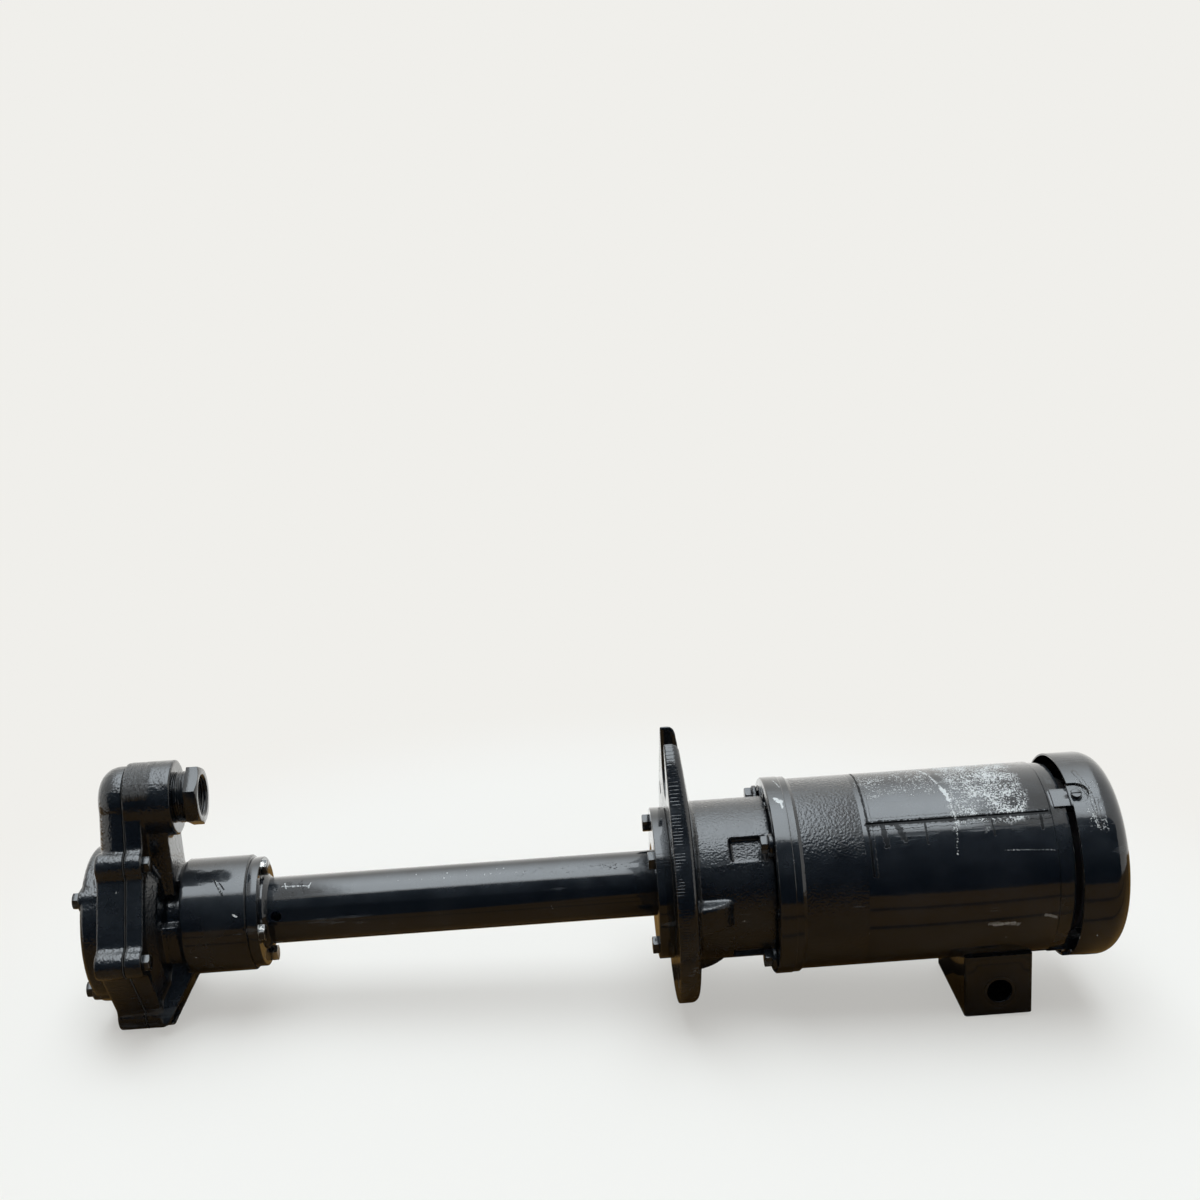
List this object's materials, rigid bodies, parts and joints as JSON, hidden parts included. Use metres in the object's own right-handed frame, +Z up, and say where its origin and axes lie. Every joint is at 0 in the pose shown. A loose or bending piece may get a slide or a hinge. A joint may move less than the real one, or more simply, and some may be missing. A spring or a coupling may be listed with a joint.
{
  "type": "vertical sump pump",
  "caption": "Vertical sump pump: a volute head with side discharge on a long column under a slotted tank flange, driven through a coupling by a flange-mounted motor.",
  "frame": {"origin": "centre of the mounting flange's underside, on the shaft's axis", "axes": "+Z up the shaft to the motor, -X to the discharge, +X to the conduit box, -Y to the conduit box's knockout"},
  "size_m": [0.2714, 0.209, 0.887],
  "materials": {
    "painted_casting": "rough cast, gloss paint",
    "painted_steel": "smooth, gloss paint",
    "painted_bolt": "gloss paint, worn",
    "machined_steel": "turned",
    "bearing_steel": "polished",
    "cast_impeller": "cast",
    "bronze": "turned",
    "lamination": "stacked sheets",
    "cast_aluminium": "cast",
    "copper_winding": "varnished wire",
    "gasket_fibre": "matte",
    "elastomer": "matte",
    "fan_plastic": "moulded"
  },
  "bodies": {
    "pump_frame": {"suction_cover": "painted_casting", "suction_cover_gasket": "gasket_fibre", "suction_cover_screws": "painted_bolt", "volute_casing": "painted_casting", "casing_gasket": "gasket_fibre", "casing_head": "painted_casting", "casing_bolts": "painted_bolt", "discharge_bushing": "painted_steel", "lower_sleeve_bearing": "bronze", "lower_column_flange": "painted_steel", "lower_flange_bolts": "painted_bolt", "column_tube": "painted_steel", "upper_column_flange": "painted_steel", "upper_flange_bolts": "painted_bolt", "upper_flange_gasket": "gasket_fibre", "pump_bearing_outer_ring": "bearing_steel", "bearing_retaining_ring": "machined_steel", "motor_bracket": "painted_casting", "c_face_bolts": "painted_bolt", "drive_end_bell": "painted_casting", "drive_bearing_outer_ring": "bearing_steel", "motor_shell": "painted_steel", "stator_core": "lamination", "stator_winding": "copper_winding", "fan_end_bell": "painted_casting", "fan_bearing_outer_ring": "bearing_steel", "bearing_wave_spring": "machined_steel", "motor_through_bolts": "machined_steel", "fan_cover": "painted_steel", "fan_cover_screws": "painted_bolt", "conduit_box": "painted_steel", "conduit_box_cover": "painted_steel", "conduit_box_gasket": "gasket_fibre", "conduit_box_screws": "painted_bolt"},
    "motor_rotor": {"motor_shaft": "machined_steel", "rotor_core": "lamination", "rotor_end_rings": "cast_aluminium", "drive_bearing_inner_ring": "bearing_steel", "fan_bearing_inner_ring": "bearing_steel", "cooling_fan": "fan_plastic", "motor_coupling_hub": "cast_aluminium", "motor_shaft_key": "machined_steel", "motor_hub_set_screw": "machined_steel", "coupling_spider": "elastomer"},
    "pump_rotor": {"pump_shaft": "machined_steel", "impeller": "cast_impeller", "impeller_key": "machined_steel", "impeller_washer": "machined_steel", "impeller_nut": "machined_steel", "pump_bearing_inner_ring": "bearing_steel", "shaft_retaining_ring": "machined_steel", "shaft_slinger": "elastomer", "pump_coupling_hub": "cast_aluminium", "pump_coupling_key": "machined_steel", "pump_hub_set_screw": "machined_steel"},
    "pump_bearing_ball_set": {"pump_bearing_balls": "bearing_steel"},
    "drive_bearing_ball_set": {"drive_bearing_balls": "bearing_steel"},
    "fan_bearing_ball_set": {"fan_bearing_balls": "bearing_steel"}
  },
  "joints": [
    {"name": "motor_spin", "type": "hinge", "parent": "pump_frame", "child": "motor_rotor", "pos_m": [0, 0, 0.2], "axis": [0, 0, 1], "continuous": true},
    {"name": "pump_spin", "type": "hinge", "parent": "pump_frame", "child": "pump_rotor", "pos_m": [0, 0, -0.2], "axis": [0, 0, 1], "continuous": true},
    {"name": "pump_bearing_ball_spin", "type": "hinge", "parent": "pump_frame", "child": "pump_bearing_ball_set", "pos_m": [0, 0, -0.0008], "axis": [0, 0, 1], "continuous": true},
    {"name": "drive_bearing_ball_spin", "type": "hinge", "parent": "pump_frame", "child": "drive_bearing_ball_set", "pos_m": [0, 0, 0.118], "axis": [0, 0, 1], "continuous": true},
    {"name": "fan_bearing_ball_spin", "type": "hinge", "parent": "pump_frame", "child": "fan_bearing_ball_set", "pos_m": [0, 0, 0.3285], "axis": [0, 0, 1], "continuous": true}
  ],
  "couplings": [
    {"joint": "pump_spin", "follows": "motor_spin", "ratio": 1},
    {"joint": "pump_bearing_ball_spin", "follows": "motor_spin", "ratio": 0.397},
    {"joint": "drive_bearing_ball_spin", "follows": "motor_spin", "ratio": 0.383},
    {"joint": "fan_bearing_ball_spin", "follows": "motor_spin", "ratio": 0.383}
  ]
}
